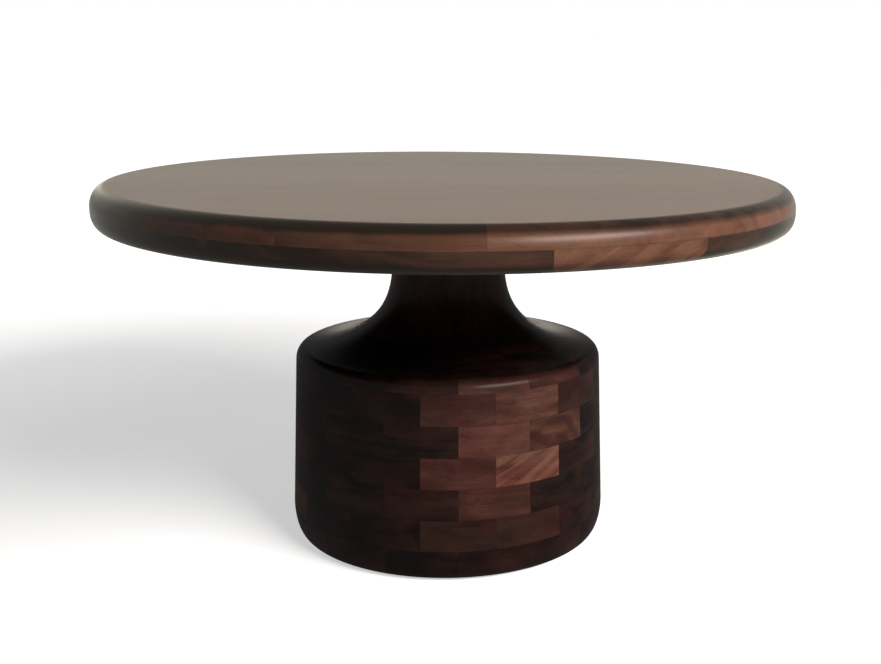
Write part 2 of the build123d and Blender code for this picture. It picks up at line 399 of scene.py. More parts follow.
def make_top(material):
    outline = top_outline()
    split = [i for i, (radius, level) in enumerate(outline) if level >= glue_plane][0]
    upper = skin([ring(level, radius) for radius, level in outline[split:]])
    lower = skin([ring(level, radius) for radius, level in outline[:split + 1]])
    half = CORE_BOARDS // 2
    top_edges = [-FAR, *(board_width * i for i in range(-half, half + 1)), FAR]
    core_edges = [-top_radius + board_width * i for i in range(CORE_BOARDS + 1)]

    plate_half = nut_plate_high.x
    pocket_levels = (nut_plate_low.z, glue_plane + CUT_MARGIN)
    pocket = skin([ring(level, square(plate_half), HARDWARE_STEPS) for level in pocket_levels])
    hole_levels = (underside - CUT_MARGIN, nut_plate_low.z + CUT_MARGIN)
    hole = skin([ring(level, ROD_HOLE_RADIUS, HARDWARE_STEPS) for level in hole_levels])
    ply("top", upper, top_edges, END_JOINT_X["top"], TOP_TONES, {}, material)
    ply("core", lower, core_edges, END_JOINT_X["core"], CORE_TONES, {half + 1: [pocket, hole]}, material)
    for form in (upper, lower, pocket, hole):
        form.free()


# ---- Blocks of the drum, and posts of the neck ---------------------------------------------------
# A block's key is its course, from the foot up, and its place in it, from the front towards +X.
DRUM_TONES = (0.04, 0.4)
SHOULDER_TONES = (0.12, 0.28)
NECK_TONES = (0.1, 0.25)
# Painted light on the drum's front: brightest a little right of front, dying into painted shade to the sides
# and towards the foot.
PAINTED_LIGHT_TONE = 0.58
PAINTED_SHADE_TONE = 0.04
PAINTED_LIGHT_ANGLE = radians(20)  # where the painted light is brightest, from straight in front towards +X
PAINTED_LIGHT_REACH = radians(52)  # to either side of it, where the painted light has died into painted shade
PAINTED_LIGHT_COURSE = 4  # from this course down, the painted light dies into painted shade towards the foot
BLOCK_SPREAD = (0.8, 1.2)  # a block in front shows between these shares of the painted light due at its place, by its own drawn tone
DARK_BLOCKS = ((3, 1), (4, 2), (5, 13))  # these stand out dark between the painted-lit ones
DARK_TONE = 0.1
SWEEP_PAINTED_SHADE = 0.2  # painted shade under the top: the sweep's tone as a share of the rim's
# Above 0, how strongly flames show, and below 0, arcs about a knot.
FIGURED_BLOCKS = {(4, 1): 0.3, (5, 1): -0.2, (6, 1): -0.12, (2, 9): 0.25, (5, 7): 0.25, (3, 5): -0.12}


def sector(outline, start, end, steps, inner):
    """One solid between two upright planes through the axis. The inner path runs from start to end."""
    form = bmesh.new()
    new, face = form.verts.new, form.faces.new
    columns = []
    for i in range(steps + 1):
        angle = start + (end - start) * i / steps
        columns.append([new((r * cos(angle), r * sin(angle), z)) for r, z in outline])
    low, high = outline[0][1], outline[-1][1]
    inner_low = [new((x, y, low)) for x, y in inner]
    inner_high = [new((x, y, high)) for x, y in inner]
    for left, right in zip(columns, columns[1:]):
        for i in range(len(outline) - 1):
            face((left[i], right[i], right[i + 1], left[i + 1])).smooth = True
    for i in range(len(inner) - 1):
        face((inner_low[i + 1], inner_low[i], inner_high[i], inner_high[i + 1]))
    face([column[0] for column in columns][::-1] + inner_low)
    face([column[-1] for column in columns] + inner_high[::-1])
    face(columns[0] + [inner_high[0], inner_low[0]])
    face(columns[-1][::-1] + [inner_low[-1], inner_high[-1]])
    bmesh.ops.recalc_face_normals(form, faces=form.faces)
    return form


def well_cutters():
    """A well for each leveller's pad, and above it a bore for the insert and the stud."""
    well = pad_radius + WELL_CLEARANCE
    steps = ((well, 0.0), (well, insert_low.z),
             (insert_radius, insert_low.z), (insert_radius, stud_bore_top))
    cutters = []
    for place in levellers.values():
        cutters.append((place.xy.to_3d(), shifted(skin(turned(*steps)), place)))
    return cutters


def sweep_painted_shade(tone):
    """Painted shade inside the rim, on the sweep up to the neck under the top."""
    def tone_with_painted_light(co):
        rim = (co.xy.length - rim_radius) / RIM_ROUND_WIDTH + 1
        return tone * min(max(rim, SWEEP_PAINTED_SHADE), 1.0)
    return tone_with_painted_light


def block_tone_with_painted_light(number, index, middle, tones, drawn):
    """Behind, a block has the tone drawn for it. In front its tone carries painted light: brightest a little
    to the right, and dying into painted shade towards the sides and the foot."""
    aside = abs((middle + pi / 2 - PAINTED_LIGHT_ANGLE + pi) % tau - pi)
    if aside > pi / 2:
        return drawn
    if (number, index) in DARK_BLOCKS:
        return DARK_TONE
    # painted light falling off to the sides, and into painted shade below the upper courses
    painted_light_fade = cos(pi / 2 * min(aside / PAINTED_LIGHT_REACH, 1.0)) ** 2
    rise = min(number / PAINTED_LIGHT_COURSE, 1.0)
    low, high = BLOCK_SPREAD
    own = low + (high - low) * (drawn - tones[0]) / (tones[1] - tones[0])
    return PAINTED_SHADE_TONE + (PAINTED_LIGHT_TONE - PAINTED_SHADE_TONE) * painted_light_fade * rise * own


def course(node, number, outline, inner_radius, tones, cutters, material):
    """One ring of blocks. A cutter comes with its place, and bites the blocks near there."""
    wood = Wood(f"wood_{node}")
    low, high = (corner.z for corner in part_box(node))
    stretch = between(outline, low, high)
    half = block_angle / 2
    for index in range(BLOCKS_PER_COURSE):
        middle = FIRST_JOINT - pi / 2 + half * (number % 2) + index * block_angle
        reach = inner_radius / cos(half)
        inner = [(reach * cos(middle + side), reach * sin(middle + side)) for side in (-half, half)]
        form = sector(stretch, middle - half, middle + half, BLOCK_STEPS, inner)
        across = Vector((cos(middle), sin(middle), 0))
        along = Vector((-sin(middle), cos(middle), 0))
        near = [cutter for place, cutter in cutters if across.angle(place) < block_angle]
        if near:
            form = carved(form, near)

        def joint_of(co, across=across, along=along):
            aside = atan2(along.dot(co), across.dot(co))
            inward = (drum_radius - co.xy.length) / DRUM_WALL
            hidden = number <= COURSES or co.z < low + CUT_MARGIN
            return Vector((aside * drum_radius, co.z - (low + high) / 2, inward if hidden else 0.0))

        tone = block_tone_with_painted_light(number, index, middle, tones, wood.random.uniform(*tones))
        # painted shade on the shoulder's sweep, under the top
        if number > COURSES:
            tone = sweep_painted_shade(tone)
        axes = Matrix((along, across, Vector((0, 0, 1))))
        wood.add(form, axes, joint_of, tone, FIGURED_BLOCKS.get((number, index), 0.0))
    wood.finish(material, "drum_wood", node)


def make_neck(outline, material):
    """Four posts, their inner corners cut away to leave a square hole for the rod."""
    wood = Wood("wood_neck_posts")
    stretch = between(outline, shoulder_top, underside)
    hole = ROD_HOLE_RADIUS
    corner = [Vector((hole, 0)), Vector((hole, hole)), Vector((0, hole))]
    for index in range(4):
        start = index * pi / 2
        inner = [(p.x * cos(start) - p.y * sin(start), p.x * sin(start) + p.y * cos(start)) for p in corner]
        form = sector(stretch, start, start + pi / 2, POST_STEPS, inner)
        axes = Matrix(((0, 0, 1), (cos(start), sin(start), 0), (-sin(start), cos(start), 0)))

        def joint_of(co, middle=start + pi / 4):
            away = (atan2(co.y, co.x) - middle + pi) % tau - pi
            return Vector((away * NECK_RADIUS, 0.0, 0.0))

        wood.add(form, axes, joint_of, wood.random.uniform(*NECK_TONES))
    wood.finish(material, "neck_wood", "neck_posts")


def make_pedestal(drum_material, neck_material):
    outline = pedestal_outline()
    wells = well_cutters()
    for number in range(1, COURSES + 1):
        node = f"drum_course_{number}"
        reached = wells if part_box(node)[0].z < stud_bore_top else []
        course(node, number, outline, drum_radius - DRUM_WALL, DRUM_TONES, reached, drum_material)
    course("shoulder_course", COURSES + 1, outline, SHOULDER_HOLE_RADIUS, SHOULDER_TONES, [], drum_material)
    for _, cutter in wells:
        cutter.free()
    make_neck(outline, neck_material)


# ---- Levellers and tie rod -----------------------------------------------------------------------
THREAD_ROWS = 8  # to each turn of a thread
THREAD_FLANK = 1.5  # how steeply a thread rises, so that it has flat crests and roots
STUD_THREAD_DEPTH = 0.0007
ROD_THREAD_DEPTH = 0.0010
INSERT_THREAD_DEPTH = 0.0004
ROD_PITCH = 0.00175
ROD_THREAD_LENGTH = 0.060
NUT_SIDES = 6
NUT_FACE_SHARE = 0.95  # of the distance across flats: the round face left by a nut's chamfer
NUT_CHAMFER = radians(30)
CHAMFER_STEPS = 5
EASED = 0.0005  # small bevels on plates, pads and sleeves
PAD_RECESS_RADIUS = 0.010
PAD_RECESS_DEPTH = 0.0006


def polygon(corner_radius, sides):
    """The radius of a regular polygon with a corner on the X axis, at an angle."""
    half = pi / sides
    return lambda angle: corner_radius * cos(half) / cos(angle % (2 * half) - half)


def capped(radius_at, limit):
    """An outline that stays within a circle."""
    return lambda angle: min(radius_at(angle), limit)


def nut_rings(across_flats, low, high):
    """The sides of a nut, with the corners turned off at both ends."""
    corner = across_flats / 2 / cos(pi / NUT_SIDES)
    face = across_flats / 2 * NUT_FACE_SHARE
    sides = polygon(corner, NUT_SIDES)
    ends = []
    for i in range(CHAMFER_STEPS + 1):
        inwards = (corner - face) * tan(NUT_CHAMFER) * i / CHAMFER_STEPS
        ends.append((inwards, capped(sides, face + inwards / tan(NUT_CHAMFER))))
    lower = [ring(low + inwards, outline, HARDWARE_STEPS) for inwards, outline in ends]
    upper = [ring(high - inwards, outline, HARDWARE_STEPS) for inwards, outline in reversed(ends)]
    return lower + upper


def thread_rings(radius, depth, pitch, low, high, points=(0.0, 0.0)):
    """A right-handed thread as rows of points going up, with its ends pointed by so much. A negative
    depth cuts it outwards, into a bore."""
    count = round((high - low) / pitch * THREAD_ROWS)
    rings = []
    for row in range(count + 1):
        level = low + (high - low) * row / count
        tip = radius - max(0.0, points[0] - (level - low), points[1] - (high - level))

        def radius_at(angle, level=level, tip=tip):
            phase = (level / pitch - angle / tau) % 1
            rise = min(max(THREAD_FLANK * (abs(2 * phase - 1) - 0.5) + 0.5, 0.0), 1.0)
            return radius - depth * rise if depth < 0 else min(radius - depth * rise, tip)

        rings.append(ring(level, radius_at, HARDWARE_STEPS))
    return rings


def stud_form():
    """The nut that turns the leveller, and the threaded shank above it."""
    nut_top = stud_low.z + STUD_NUT_HEIGHT
    undercut = turned((STUD_RADIUS - STUD_THREAD_DEPTH, nut_top))
    thread = thread_rings(STUD_RADIUS, STUD_THREAD_DEPTH, STUD_PITCH, nut_top + STUD_PITCH / 2, stud_high.z,
                          (STUD_THREAD_DEPTH, STUD_THREAD_DEPTH))
    return skin([*nut_rings(STUD_NUT_ACROSS_FLATS, stud_low.z, nut_top), *undercut, *thread])


def insert_form():
    """The threaded sleeve that the stud turns in."""
    low, high, radius = insert_low.z, insert_high.z, insert_radius
    outside = turned((radius - EASED, low), (radius, low + EASED),
                     (radius, high - EASED), (radius - EASED, high))
    bore = thread_rings(INSERT_BORE_RADIUS, -INSERT_THREAD_DEPTH, STUD_PITCH, low + EASED, high - EASED)
    mouths = turned((INSERT_BORE_RADIUS + EASED, low), (INSERT_BORE_RADIUS + EASED, high))
    return skin([*outside, mouths[1], *reversed(bore), mouths[0]], loop=True)


def pad_form():
    """The glide: flats to grip, a sloping crown for the nut to stand on, a shallow recess underneath."""
    shrink = tan(PAD_SLOPE) / cos(pi / PAD_SIDES)
    crown_radius = pad_radius - (pad_high.z - PAD_RIM_HEIGHT) * shrink
    levels = (
        (pad_radius - EASED, 0.0),
        (pad_radius, EASED),
        (pad_radius, PAD_RIM_HEIGHT - EASED / 2),
        (pad_radius - EASED * shrink / 2, PAD_RIM_HEIGHT + EASED / 2),
        (crown_radius + EASED * shrink / 2, pad_high.z - EASED / 2),
        (crown_radius - EASED / 2, pad_high.z),
    )
    recess = turned((PAD_RECESS_RADIUS - EASED, PAD_RECESS_DEPTH), (PAD_RECESS_RADIUS, 0.0))
    sides = [ring(level, capped(polygon(radius, PAD_SIDES), radius - EASED / 2), HARDWARE_STEPS)
             for radius, level in levels]
    return skin([*recess, *sides])


def rod_form():
    """The tie rod, threaded at both ends."""
    radius, depth = rod_high.x, ROD_THREAD_DEPTH
    lower_end = rod_low.z + ROD_THREAD_LENGTH
    upper_end = nut_plate_low.z - ROD_PITCH
    lower = thread_rings(radius, depth, ROD_PITCH, rod_low.z, lower_end, (depth, 0.0))
    plain = turned((radius, lower_end + ROD_PITCH), (radius, upper_end))
    upper = thread_rings(radius, depth, ROD_PITCH, upper_end + ROD_PITCH, rod_high.z, (0.0, depth))
    return skin([*lower, *plain, *upper])


def rod_nut_form():
    """The nut at the foot of the rod, its bore countersunk at both ends."""
    mouth = NUT_BORE_RADIUS + 2 * EASED
    low, high = nut_low.z, nut_high.z
    bore = turned((mouth, high), (NUT_BORE_RADIUS, high - 2 * EASED), (NUT_BORE_RADIUS, low + 2 * EASED),
                  (mouth, low))
    return skin([*nut_rings(NUT_ACROSS_FLATS, low, high), *bore], loop=True)


def pressure_plate_form():
    """The plate that the nut pulls up against the shoulder, its edges eased."""
    half, low, high = plate_high.x, plate_low.z, plate_high.z
    levels = ((half - EASED, low), (half, low + EASED), (half, high - EASED), (half - EASED, high))
    sides = [ring(level, square(side), HARDWARE_STEPS) for side, level in levels]
    return skin([*sides, *turned((ROD_HOLE_RADIUS, high), (ROD_HOLE_RADIUS, low))], loop=True)


def make_hardware(zinc, plastic):
    steel, moulded = "zinc_plated_steel", "black_plastic"
    for side, place in levellers.items():
        stud = as_mesh(shifted(stud_form(), place), "steel_stud")
        make_piece(f"steel_stud_{side}", stud, zinc, steel, f"stud_{side}", f"leveller_stud_{side}")
        pad = as_mesh(shifted(pad_form(), place), "plastic_pad")
        make_piece(f"plastic_pad_{side}", pad, plastic, moulded, f"pad_{side}", f"leveller_pad_{side}")

    sleeves = bmesh.new()
    for place in levellers.values():
        sleeve = as_mesh(shifted(insert_form(), place), "sleeve")
        sleeves.from_mesh(sleeve)
        bpy.data.meshes.remove(sleeve)
    make_piece("steel_inserts", as_mesh(sleeves, "steel_inserts"), zinc, steel, "table", "leveller_inserts")
    for node, form in (("tie_rod", rod_form()), ("tie_rod_nut", rod_nut_form()),
                       ("pressure_plate", pressure_plate_form())):
        make_piece(f"steel_{node}", as_mesh(form, f"steel_{node}"), zinc, steel, "table", node)


# ---- Materials -----------------------------------------------------------------------------------
class Graph:
    """Builds a node material from short calls. An input is a value, or a socket to link from."""

    def __init__(self, name):
        self.material = bpy.data.materials.new(name)
        self.material.use_nodes = True
        self.tree = self.material.node_tree
        self.tree.nodes.clear()

    def node(self, kind, inputs=(), **settings):
        made = self.tree.nodes.new(f"ShaderNode{kind}")
        for key, value in settings.items():
            setattr(made, key, value)
        for key, value in dict(inputs).items():
            if isinstance(value, bpy.types.NodeSocket):
                self.tree.links.new(value, made.inputs[key])
            else:
                made.inputs[key].default_value = value
        return made

    def attribute(self, name, output="Vector"):
        return self.node("Attribute", attribute_name=name).outputs[output]

    def math(self, operation, a, b=0.0, c=0.0):
        return self.node("Math", {0: a, 1: b, 2: c}, operation=operation).outputs[0]

    def scaled(self, vector, scale, turn=(0, 0, 0)):
        if any(turn):
            vector = self.node("Mapping", {"Vector": vector, "Rotation": turn}).outputs[0]
        return self.node("VectorMath", {0: vector, 1: scale}, operation="MULTIPLY").outputs[0]

    def noise(self, vector, detail=2.0, roughness=0.5, distortion=0.0, output="Fac"):
        inputs = {"Vector": vector, "Scale": 1.0, "Detail": detail, "Roughness": roughness,
                  "Distortion": distortion}
        return self.node("TexNoise", inputs).outputs[output]

    def ramp(self, factor, *stops):
        """Colours or plain values along a factor, as (place, value) pairs."""
        made = self.node("ValToRGB", {"Fac": factor})
        elements = made.color_ramp.elements
        while len(elements) < len(stops):
            elements.new(0.5)
        for element, (place, value) in zip(elements, stops):
            element.position = place
            element.color = (value,) * 3 + (1,) if isinstance(value, (int, float)) else (*value, 1)
        return made.outputs["Color"]

    def band(self, value, low, high, to_low=0.0, to_high=1.0):
        """A value carried from one range to another, and held at the ends."""
        inputs = {"Value": value, "From Min": low, "From Max": high, "To Min": to_low, "To Max": to_high}
        return self.node("MapRange", inputs).outputs[0]

    def mix(self, factor, a, b, blend="MIX"):
        made = self.node("Mix", data_type="RGBA", blend_type=blend)
        for key, value in ((0, factor), (6, a), (7, b)):
            if isinstance(value, bpy.types.NodeSocket):
                self.tree.links.new(value, made.inputs[key])
            else:
                made.inputs[key].default_value = value if key == 0 else (*value, 1)
        return made.outputs[2]

    def surface(self, inputs):
        shader = self.node("BsdfPrincipled", inputs)
        output = self.node("OutputMaterial")
        self.tree.links.new(shader.outputs[0], output.inputs[0])
        return self.material


# Linear colours of the stained wood, from the deepest stain to where it was rubbed off. "red" is how far it
# reddens in places, and "clouds" and "reds" are the scales of the stain's patches and of the red ones.
TOP_STAIN = {"dark": (0.009, 0.005, 0.0025), "middle": (0.062, 0.0265, 0.0155),
             "light": (0.16, 0.078, 0.047), "red": 0.4, "clouds": (8, 36, 36), "reds": (4, 30, 30)}
DRUM_STAIN = {"dark": (0.0036, 0.0023, 0.0018), "middle": (0.033, 0.0135, 0.0098),
              "light": (0.125, 0.054, 0.040), "red": 0.7, "clouds": (18, 34, 34), "reds": (9, 26, 26)}
BARE = {"dark": (0.13, 0.065, 0.03), "light": (0.34, 0.2, 0.105)}
GOLD = (0.20, 0.092, 0.050)
MAROON = (1.0, 0.62, 0.70)
# "base" and "satin" are the specular level and the roughness of the wood, "coat" and "gloss" the weight and
# the roughness of the lacquer on it. "relief" is the strength of the bump, "seam" how dark a glue joint is.
TOP_LACQUER = {"base": 0.006, "satin": 0.34, "coat": 0.14, "gloss": 0.3, "sheen": 0.37, "relief": 0.1,
               "seam": 0.2}
DRUM_LACQUER = {"base": 0.0, "satin": 0.6, "coat": 0.075, "gloss": 0.27, "sheen": 0.0, "relief": 0.2,
                "seam": 0.25}
SHEEN_ROUGHNESS = 0.3
SHEEN_TINT = (1.0, 0.95, 0.72, 1)
COAT_IOR = 1.6

# Scales are per metre, along and across the grain. A pair is the range of a pattern over which it sets in.
NOISE_MIDDLE = 0.5
DRIFT_GRAIN = (3.5, 16, 16)
DRIFT = (0, 0.02, 0.02)  # how far the fibres wander, in metres
RING_GRAIN = (0.12, 1, 1)
RING_WAVE = {"Scale": 30.0, "Distortion": 2.2, "Detail": 3.0, "Detail Scale": 1.6}
FIBRE_GRAIN = (14, 520, 520)
STREAK_GRAIN = (5, 95, 95)
PORE_GRAIN = (55, 1500, 1500)
PORES = (0.6, 0.72)
PORE_TONE = 0.45  # how far a pore turns to the darkest stain
RING_SHARE = 0.05
STREAK_SHARE = 0.2
FIBRE_SHARE = 0.08
CLOUD_SHARE = 0.7
MIDDLE_DEPTH = 0.45  # where the middle colour lies between the dark and the light one
REDDENED = (0.38, 0.62)
FLAME_LEAN = radians(28)
FLAME_GRAIN = (9, 38, 120)
FLAMES = (0.46, 0.6)
SWIRL_CENTRE = (-0.045, -0.03, 0)
SWIRL_RINGS = 250
SWIRL_WANDER = 12
ARCS = (-0.4, 1.0)
ARC_STREAKS = (0.4, 0.6)
ARC_STRENGTHS = (0.3, 1.0)
STAIN_END = (0.3, 0.36)  # as a share of the drum's wall, from outside
BARE_DEPTH = 0.6  # where bare wood is at its lightest
SEAM = (0.0002, 0.0008)  # from here to there its stain fades, in metres from a glue joint
FIBRE_RELIEF = 0.5
PORE_RELIEF = -0.7
SEAM_RELIEF = -0.6
RELIEF_HEIGHT = 0.0002
ROUGH_CLOUDS = (0.3, 0.7)
ROUGHNESS_SPREAD = 0.04


def stained_wood(name, half_length, half_width, stain, lacquer):
    """Hardwood under dark stain and satin lacquer, left bare inside the drum. The half sizes are from a
    piece's middle to its joints."""
    g = Graph(name)
    grain = g.attribute("grain")
    # the tone holds painted light and shade as well as the wood's own tone
    tone = g.attribute("tone", "Fac")
    figured = g.attribute("figure", "Fac")
    spot = g.attribute("joint")

    # The fibres wander, so the growth rings bend with them.
    drift = g.noise(g.scaled(grain, DRIFT_GRAIN), detail=2, output="Color")
    drift = g.node("VectorMath", {0: drift, 1: (NOISE_MIDDLE,) * 3}, operation="SUBTRACT").outputs[0]
    drift = g.scaled(drift, DRIFT)
    bent = g.node("VectorMath", {0: grain, 1: drift}, operation="ADD").outputs[0]

    wave = {"Vector": g.scaled(bent, RING_GRAIN), **RING_WAVE}
    rings = g.node("TexWave", wave, wave_type="RINGS", rings_direction="X", wave_profile="SAW")
    rings = rings.outputs["Fac"]
    fibres = g.noise(g.scaled(bent, FIBRE_GRAIN), detail=4, roughness=0.6)
    streaks = g.noise(g.scaled(bent, STREAK_GRAIN), detail=3, roughness=0.55)
    clouds = g.noise(g.scaled(grain, stain["clouds"]), detail=4, roughness=0.55, distortion=0.4)
    pores = g.band(g.noise(g.scaled(bent, PORE_GRAIN), detail=1), *PORES)

    depth = g.math("MULTIPLY_ADD", g.math("SUBTRACT", rings, NOISE_MIDDLE), RING_SHARE, tone)
    for share, source in ((STREAK_SHARE, streaks), (FIBRE_SHARE, fibres), (CLOUD_SHARE, clouds)):
        depth = g.math("MULTIPLY_ADD", g.math("SUBTRACT", source, NOISE_MIDDLE), share, depth)
    colour = g.ramp(depth, (0.0, stain["dark"]), (MIDDLE_DEPTH, stain["middle"]), (1.0, stain["light"]))
    redness = g.band(g.noise(g.scaled(grain, stain["reds"]), detail=2), *REDDENED, 0.0, stain["red"])
    colour = g.mix(redness, colour, MAROON, "MULTIPLY")

    # Figured pieces: broad golden flames leaning across the grain, or arcs about a knot.
    lean = g.scaled(bent, FLAME_GRAIN, (0, FLAME_LEAN, 0))
    flames = g.band(g.noise(lean, detail=1.5, roughness=0.45, distortion=0.15), *FLAMES)
    flames = g.math("MULTIPLY", flames, g.math("MAXIMUM", figured, 0.0))
    knot = g.node("VectorMath", {0: spot, 1: SWIRL_CENTRE}, operation="SUBTRACT").outputs[0]
    knot = g.node("VectorMath", {0: knot}, operation="LENGTH").outputs["Value"]
    knot = g.math("MULTIPLY_ADD", clouds, SWIRL_WANDER, g.math("MULTIPLY", knot, SWIRL_RINGS))
    arcs = g.band(g.math("SINE", knot), *ARCS)
    arcs = g.math("MULTIPLY", arcs, g.band(streaks, *ARC_STREAKS, *ARC_STRENGTHS))
    arcs = g.math("MULTIPLY", arcs, g.math("MAXIMUM", g.math("MULTIPLY", figured, -1.0), 0.0))
    colour = g.mix(g.math("ADD", flames, arcs), colour, GOLD)
    colour = g.mix(g.math("MULTIPLY", pores, PORE_TONE), colour, stain["dark"])

    # The stain stops under the foot, and the wood inside the drum is bare.
    place = g.node("SeparateXYZ", {0: spot}).outputs
    bare = g.ramp(depth, (0.0, BARE["dark"]), (BARE_DEPTH, BARE["light"]))
    colour = g.mix(g.band(place[2], *STAIN_END), colour, bare)

    # Glue joints: the stain gathers in them.
    reach = g.math("MINIMUM", g.math("SUBTRACT", half_length, g.math("ABSOLUTE", place[0])),
                   g.math("SUBTRACT", half_width, g.math("ABSOLUTE", place[1])))
    seam = g.band(reach, *SEAM, 1.0, 0.0)
    colour = g.mix(g.math("MULTIPLY", seam, lacquer["seam"]), colour, stain["dark"])

    relief = g.math("MULTIPLY_ADD", pores, PORE_RELIEF, g.math("MULTIPLY", fibres, FIBRE_RELIEF))
    relief = g.math("MULTIPLY_ADD", seam, SEAM_RELIEF, relief)
    bump = {"Height": relief, "Strength": lacquer["relief"], "Distance": RELIEF_HEIGHT}
    bump = g.node("Bump", bump).outputs[0]
    satin = lacquer["satin"]
    rough = g.band(clouds, *ROUGH_CLOUDS, satin - ROUGHNESS_SPREAD, satin + ROUGHNESS_SPREAD)
    return g.surface({
        "Base Color": colour, "Roughness": rough, "Normal": bump,
        "Specular IOR Level": lacquer["base"],
        "Coat Weight": lacquer["coat"], "Coat Roughness": lacquer["gloss"], "Coat IOR": COAT_IOR,
        "Sheen Weight": lacquer["sheen"], "Sheen Roughness": SHEEN_ROUGHNESS, "Sheen Tint": SHEEN_TINT,
    })


MOTTLE_GRAIN = (240, 240, 240)
MOTTLE_COLOURS = ((0.3, (0.36, 0.37, 0.38)), (0.7, (0.56, 0.57, 0.57)))
MOTTLE = (0.3, 0.7)
AGE_GRAIN = (30, 30, 30)
AGED = (0.5, 0.75)
AGED_STRENGTHS = (0, 0.5)
AGED_COLOUR = (0.42, 0.36, 0.24)
ZINC_RELIEF = {"Strength": 0.2, "Distance": 0.0001}
ZINC_ROUGHNESS = (0.3, 0.48)


def zinc_steel():
    """Zinc plate over steel: a fine crystalline mottle, slightly yellow where it has aged."""
    g = Graph("zinc_steel")
    place = g.node("TexCoord").outputs["Object"]
    mottle = g.noise(g.scaled(place, MOTTLE_GRAIN), detail=4, roughness=0.6)
    age = g.noise(g.scaled(place, AGE_GRAIN), detail=3)
    colour = g.ramp(mottle, *MOTTLE_COLOURS)
    colour = g.mix(g.band(age, *AGED, *AGED_STRENGTHS), colour, AGED_COLOUR)
    bump = g.node("Bump", {"Height": mottle, **ZINC_RELIEF}).outputs[0]
    rough = g.band(mottle, *MOTTLE, *ZINC_ROUGHNESS)
    return g.surface({"Base Color": colour, "Roughness": rough, "Metallic": 1.0, "Normal": bump})


SPARK_GRAIN = (2600, 2600, 2600)
SCUFF_GRAIN = (160, 160, 500)
SCUFF_COLOURS = ((0.4, (0.012, 0.012, 0.013)), (0.8, (0.045, 0.044, 0.043)))
SCUFFS = (0.3, 0.7)
PLASTIC_RELIEF = {"Strength": 0.35, "Distance": 0.0001}
PLASTIC_ROUGHNESS = (0.45, 0.65)


def black_plastic():
    """Moulded nylon with a fine spark-eroded grain and scuffs."""
    g = Graph("black_plastic")
    place = g.node("TexCoord").outputs["Object"]
    grain = g.noise(g.scaled(place, SPARK_GRAIN), detail=2)
    scuffs = g.noise(g.scaled(place, SCUFF_GRAIN), detail=4, roughness=0.65)
    colour = g.ramp(scuffs, *SCUFF_COLOURS)
    bump = g.node("Bump", {"Height": grain, **PLASTIC_RELIEF}).outputs[0]
    rough = g.band(scuffs, *SCUFFS, *PLASTIC_ROUGHNESS)
    return g.surface({"Base Color": colour, "Roughness": rough, "Normal": bump})


# ---- Room, lamps and camera ----------------------------------------------------------------------
# The camera's place, its angles in radians, its lens in millimetres and its shift fit the photo's outline.
CAMERA_DISTANCE = 1.4486
CAMERA_HEIGHT = 0.5829
CAMERA_TURN = radians(2.2)  # the camera stands this far towards -X from straight in front
CAMERA_PITCH = 0.2305  # downwards
CAMERA_YAW = 0.0584  # towards +X
CAMERA_ROLL = 0.0119  # anticlockwise, seen from behind the camera
CAMERA_LENS = 49.378
CAMERA_SHIFT = (-0.0873, 0.0035)  # the photo is cut from the side of a larger picture
CAMERA_CLIP = 0.05
TABLE_MIDDLE = (0, 0, 0.25)  # where both lamps point
FILL_PLACE = (0.15, 2.4, 0.24)  # below the level of the top, which so does not mirror it
FILL_SIZE = (1.2, 0.3)
FILL_POWER = 17
FILL_COLOUR = (1.0, 0.9, 0.77)
WINDOW_PLACE = (1.706, -1.962, 1.75)
WINDOW_SIZE = (1.9, 0.6)
WINDOW_POWER = 155
WINDOW_COLOUR = (1.0, 0.98, 0.96)
FLOOR_SIZE = 40.0
FLOOR_FADE = (0.7, 3.0)  # from the table outwards, the floor's own shade gives way to white
FLOOR_LIFT = (0.55, 1.0)
FLOOR_GLOW = 0.1  # for the rays that gather light, also inside the drum
FLOOR_COLOUR = (0.5, 0.495, 0.49, 1)
FLOOR_ROUGHNESS = 0.5
PAPER = (1, 1, 1, 1)
PAPER_STRENGTH = 1.0
ROOM_LIGHT = (0.93, 0.96, 1.0, 1)
ROOM_STRENGTH = 0.11


def make_camera():
    camera = bpy.data.objects.new("camera", bpy.data.cameras.new("camera"))
    camera.data.lens = CAMERA_LENS
    camera.data.shift_x, camera.data.shift_y = CAMERA_SHIFT
    camera.data.clip_start = CAMERA_CLIP
    bpy.context.collection.objects.link(camera)
    ahead = Vector((sin(CAMERA_YAW) * cos(CAMERA_PITCH), cos(CAMERA_YAW) * cos(CAMERA_PITCH),
                    -sin(CAMERA_PITCH)))
    turn = Matrix.Rotation(-CAMERA_TURN, 3, "Z")
    camera.location = turn @ Vector((0, -CAMERA_DISTANCE, CAMERA_HEIGHT))
    aim = (turn @ ahead).to_track_quat("-Z", "Y")
    roll = Matrix.Rotation(CAMERA_ROLL, 3, "Z").to_quaternion()
    camera.rotation_mode = "QUATERNION"
    camera.rotation_quaternion = aim @ roll
    bpy.context.scene.camera = camera


def area_lamp(name, place, target, size, power, colour):
    lamp = bpy.data.lights.new(name, "AREA")
    lamp.shape = "RECTANGLE"
    lamp.size, lamp.size_y = size
    lamp.energy = power
    lamp.color = colour
    holder = bpy.data.objects.new(name, lamp)
    holder.location = place
    holder.rotation_mode = "QUATERNION"
    holder.rotation_quaternion = (Vector(target) - Vector(place)).to_track_quat("-Z", "Y")
    holder.visible_camera = False
    bpy.context.collection.objects.link(holder)


def background_rays(tree):
    """1 for the rays that see or mirror the background, 0 for those that only gather light."""
    path = tree.nodes.new("ShaderNodeLightPath").outputs
    seen = path["Is Camera Ray"]
    for kind in ("Is Glossy Ray", "Is Transmission Ray"):
        either = tree.nodes.new("ShaderNodeMath")
        either.operation = "MAXIMUM"
        tree.links.new(seen, either.inputs[0])
        tree.links.new(path[kind], either.inputs[1])
        seen = either.outputs[0]
    return seen


